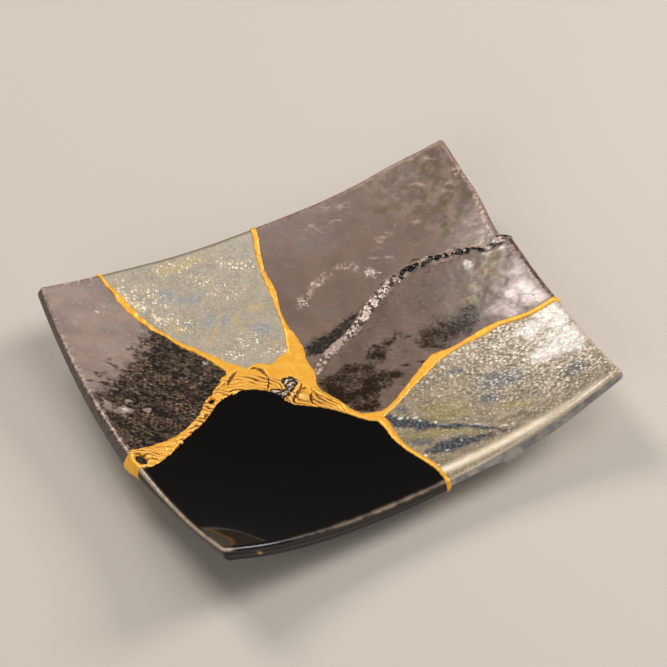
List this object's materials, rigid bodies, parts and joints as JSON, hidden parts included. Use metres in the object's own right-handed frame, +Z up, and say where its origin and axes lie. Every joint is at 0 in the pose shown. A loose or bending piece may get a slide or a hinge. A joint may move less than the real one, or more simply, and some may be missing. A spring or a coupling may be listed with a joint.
{
  "type": "kintsugi plate",
  "caption": "Small rectangular dish with upswept corners, pieced together from unlike glazed pottery shards with raised gold seams and a black lacquer seam, on a low foot ring.",
  "frame": {"origin": "middle of the plate's footprint, on the surface that it stands on", "axes": "+X along the long side, towards the mauve and right celadon shards; +Y towards the back edge, across the short side; +Z up"},
  "size_m": [0.1944, 0.1589, 0.0352],
  "materials": {
    "umber_glaze": "brown-black glaze with a mauve haze and fine speckle",
    "celadon_glaze": "grey-green glaze with fine pale sparkle",
    "mauve_glaze": "mauve-brown lustre glaze with black mottling",
    "olive_glaze": "grainy olive and cream glaze with a cream rim",
    "black_glaze": "mirror-gloss black glaze",
    "gold": "burnished gold powder on wrinkled lacquer",
    "lacquer": "black lacquer, wrinkled and glossy, with silvery high spots"
  },
  "bodies": {
    "root": {"shard_umber_left": "umber_glaze", "shard_celadon_middle": "celadon_glaze", "shard_mauve_corner": "mauve_glaze", "shard_mauve_side": "mauve_glaze", "shard_celadon_right": "olive_glaze", "shard_black": "black_glaze", "gold_seam": "gold", "lacquer_seam": "lacquer"}
  },
  "joints": []
}
